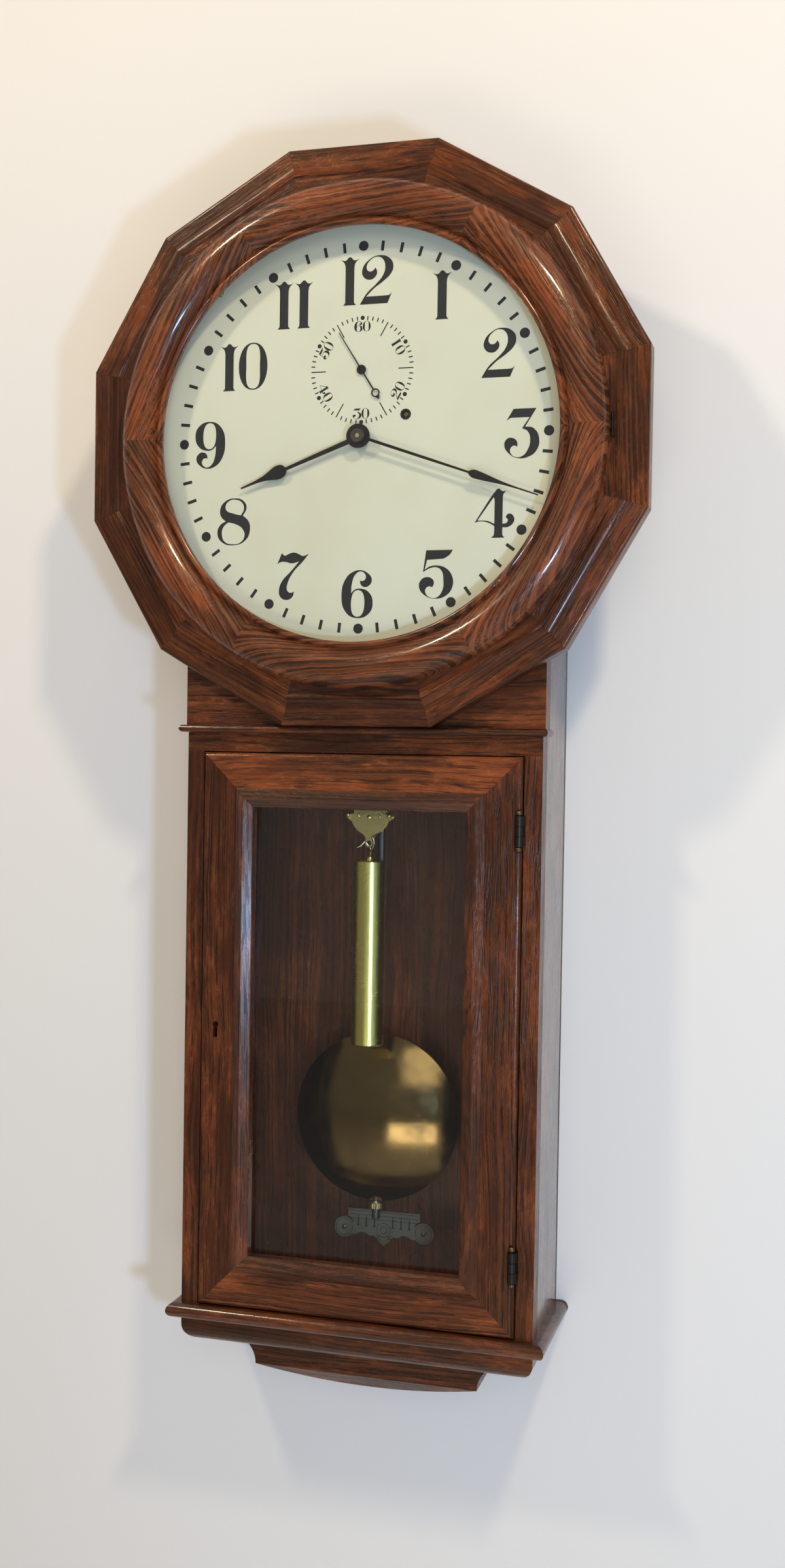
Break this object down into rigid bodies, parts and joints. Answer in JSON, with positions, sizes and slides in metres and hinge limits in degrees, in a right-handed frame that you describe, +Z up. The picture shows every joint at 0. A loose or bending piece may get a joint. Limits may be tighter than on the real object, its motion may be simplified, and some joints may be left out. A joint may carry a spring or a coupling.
{
  "type": "regulator clock",
  "caption": "Weight-driven wall regulator clock with a twelve-sided oak head, hinged round bezel, glazed trunk door, dead-beat movement and a lens-bob pendulum.",
  "frame": {"origin": "centre of the hanger hole on the wall plane, at the clock's back", "axes": "X to the right as seen from the front, Y towards the wall so that the dial faces -Y, Z up"},
  "size_m": [0.4, 0.1248, 0.8834],
  "materials": {
    "oak": "satin varnish",
    "oak_inside": "matt",
    "dial_paint": "satin",
    "brass": "polished and lacquered",
    "silvered": "silvered, aged",
    "steel": "satin",
    "blacked_steel": "satin black",
    "bronze": "dark bronzed",
    "iron": "japanned",
    "line": "gut",
    "glass": "clear"
  },
  "bodies": {
    "case": {"backboard": "oak_inside", "side_left": "oak", "side_right": "oak", "top_board": "oak", "head_panel": "oak", "trunk_face_frame": "oak", "bead_moulding": "oak", "frame_segments": "oak", "base_board": "oak", "base_ovolo": "oak", "base_drop": "oak", "hanger_plate": "brass", "wood_screws": "brass", "dial_ring": "oak_inside", "dial_plate": "dial_paint", "winding_grommet": "brass", "beat_scale": "silvered", "movement_bracket": "iron", "back_plate": "brass", "front_plate": "brass", "plate_pillars": "brass", "suspension_cock": "brass", "case_hinge_leaves": "bronze", "hinge_pins": "bronze", "bezel_hinge_fixed": "bronze", "weight_line": "line"},
    "trunk_door": {"door_stiles": "oak", "door_rails": "oak", "door_moulding": "oak", "door_glass": "glass", "door_lock": "brass", "door_hinge_leaves": "bronze"},
    "bolt": {"lock_bolt": "brass"},
    "bezel": {"bezel_ring": "oak", "bezel_glass": "glass", "bezel_hinge_moving": "bronze"},
    "centre": {"centre_wheel": "brass", "cannon_pinion": "steel", "minute_hand": "blacked_steel", "hand_nut": "steel"},
    "great": {"great_wheel": "brass"},
    "pawl": {"click": "steel"},
    "drum": {"winding_drum": "brass"},
    "third": {"third_wheel": "brass"},
    "escape": {"escape_wheel": "brass", "seconds_hand": "blacked_steel"},
    "motion": {"minute_wheel": "brass"},
    "hour": {"hour_wheel": "brass", "hour_hand": "blacked_steel"},
    "anchor": {"pallets": "steel", "crutch": "steel"},
    "pendulum": {"suspension_spring": "steel", "pendulum_rod": "steel", "bob": "brass"},
    "nut": {"rating_nut": "brass"},
    "driving_weight": {"weight": "brass", "pulley_plates": "brass", "weight_hook": "steel", "line_bight": "line"},
    "sheave": {"pulley_sheave": "brass"}
  },
  "joints": [
    {"name": "door_swing", "type": "hinge", "parent": "case", "child": "trunk_door", "pos_m": [0.1152, -0.096, -0.539], "axis": [0, 0, 1], "range_deg": [0, 110]},
    {"name": "bolt_slide", "type": "slide", "parent": "trunk_door", "child": "bolt", "axis": [-1, 0, 0], "range_m": [0, 0.005]},
    {"name": "bezel_swing", "type": "hinge", "parent": "case", "child": "bezel", "pos_m": [0.176, -0.112, -0.12], "axis": [0, 0, 1], "range_deg": [0, 100]},
    {"name": "centre_spin", "type": "hinge", "parent": "case", "child": "centre", "pos_m": [0, -0.075, -0.12], "axis": [0, 1, 0], "continuous": true},
    {"name": "great_spin", "type": "hinge", "parent": "case", "child": "great", "pos_m": [0.032, -0.075, -0.105], "axis": [0, 1, 0], "continuous": true},
    {"name": "click_lift", "type": "hinge", "parent": "great", "child": "pawl", "pos_m": [0.0403, -0.0735, -0.09062], "axis": [0, -1, 0], "range_deg": [0, 8]},
    {"name": "third_spin", "type": "hinge", "parent": "case", "child": "third", "pos_m": [-0.0184, -0.055, -0.09333], "axis": [0, 1, 0], "continuous": true},
    {"name": "escape_spin", "type": "hinge", "parent": "case", "child": "escape", "pos_m": [0, -0.048, -0.0733], "axis": [0, 1, 0], "continuous": true},
    {"name": "minute_wheel_spin", "type": "hinge", "parent": "case", "child": "motion", "pos_m": [-0.01061, -0.09, -0.13061], "axis": [0, 1, 0], "continuous": true},
    {"name": "hour_spin", "type": "hinge", "parent": "case", "child": "hour", "pos_m": [0, -0.1, -0.12], "axis": [0, 1, 0], "continuous": true},
    {"name": "pendulum_swing", "type": "hinge", "parent": "case", "child": "pendulum", "pos_m": [0, -0.033, -0.048], "axis": [0, 1, 0], "range_deg": [-2, 2]},
    {"name": "anchor_rock", "type": "hinge", "parent": "case", "child": "anchor", "pos_m": [0, -0.048, -0.048], "axis": [0, 1, 0], "range_deg": [-2, 2]},
    {"name": "nut_turn", "type": "hinge", "parent": "pendulum", "child": "nut", "pos_m": [0, -0.033, -0.673], "axis": [0, 0, 1], "continuous": true},
    {"name": "weight_fall", "type": "slide", "parent": "case", "child": "driving_weight", "axis": [0, 0, 1], "range_m": [-0.165, 0.185], "deforming": ["weight_line"]},
    {"name": "drum_spin", "type": "hinge", "parent": "case", "child": "drum", "pos_m": [0.032, -0.064, -0.105], "axis": [0, 1, 0], "range_deg": [-1870, 2095]},
    {"name": "sheave_spin", "type": "hinge", "parent": "driving_weight", "child": "sheave", "pos_m": [0, -0.0625, -0.3843], "axis": [0, 1, 0], "range_deg": [-905, 807]}
  ],
  "couplings": [
    {"joint": "great_spin", "follows": "centre_spin", "ratio": -0.0625},
    {"joint": "third_spin", "follows": "centre_spin", "ratio": -8},
    {"joint": "escape_spin", "follows": "centre_spin", "ratio": 60},
    {"joint": "minute_wheel_spin", "follows": "centre_spin", "ratio": -0.33333},
    {"joint": "hour_spin", "follows": "centre_spin", "ratio": 0.083333},
    {"joint": "anchor_rock", "follows": "pendulum_swing", "ratio": 1},
    {"joint": "drum_spin", "follows": "weight_fall", "rad_per_m": 197.04},
    {"joint": "sheave_spin", "follows": "weight_fall", "rad_per_m": -84.746}
  ]
}
